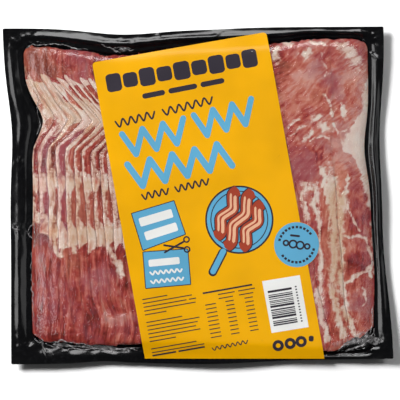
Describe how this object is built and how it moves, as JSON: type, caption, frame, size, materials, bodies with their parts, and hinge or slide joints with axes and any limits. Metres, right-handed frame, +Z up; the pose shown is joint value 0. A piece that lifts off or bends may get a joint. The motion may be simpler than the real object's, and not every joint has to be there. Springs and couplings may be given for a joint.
{
  "type": "vacuum bacon pack",
  "caption": "Flat vacuum pack of shingled streaky bacon: clear film over sliced rashers on a black backing film, with a slanted yellow label and a round tab.",
  "frame": {"origin": "on the table, under the middle of the pack's outline", "axes": "+X to the pack's right as the label is read, +Y to its top edge, +Z up out of the label"},
  "size_m": [0.3234, 0.2798, 0.0139],
  "materials": {
    "black_film": "glossy black plastic film",
    "filmed_bacon": "raw streaky bacon, lean and fat, wet under clear film",
    "label": "satin printed label, warm yellow",
    "clear_film": "clear plastic film, glossy"
  },
  "bodies": {
    "root": {"black_backing_film": "black_film", "bacon_in_clear_film": "filmed_bacon", "label": "label"}
  },
  "joints": []
}
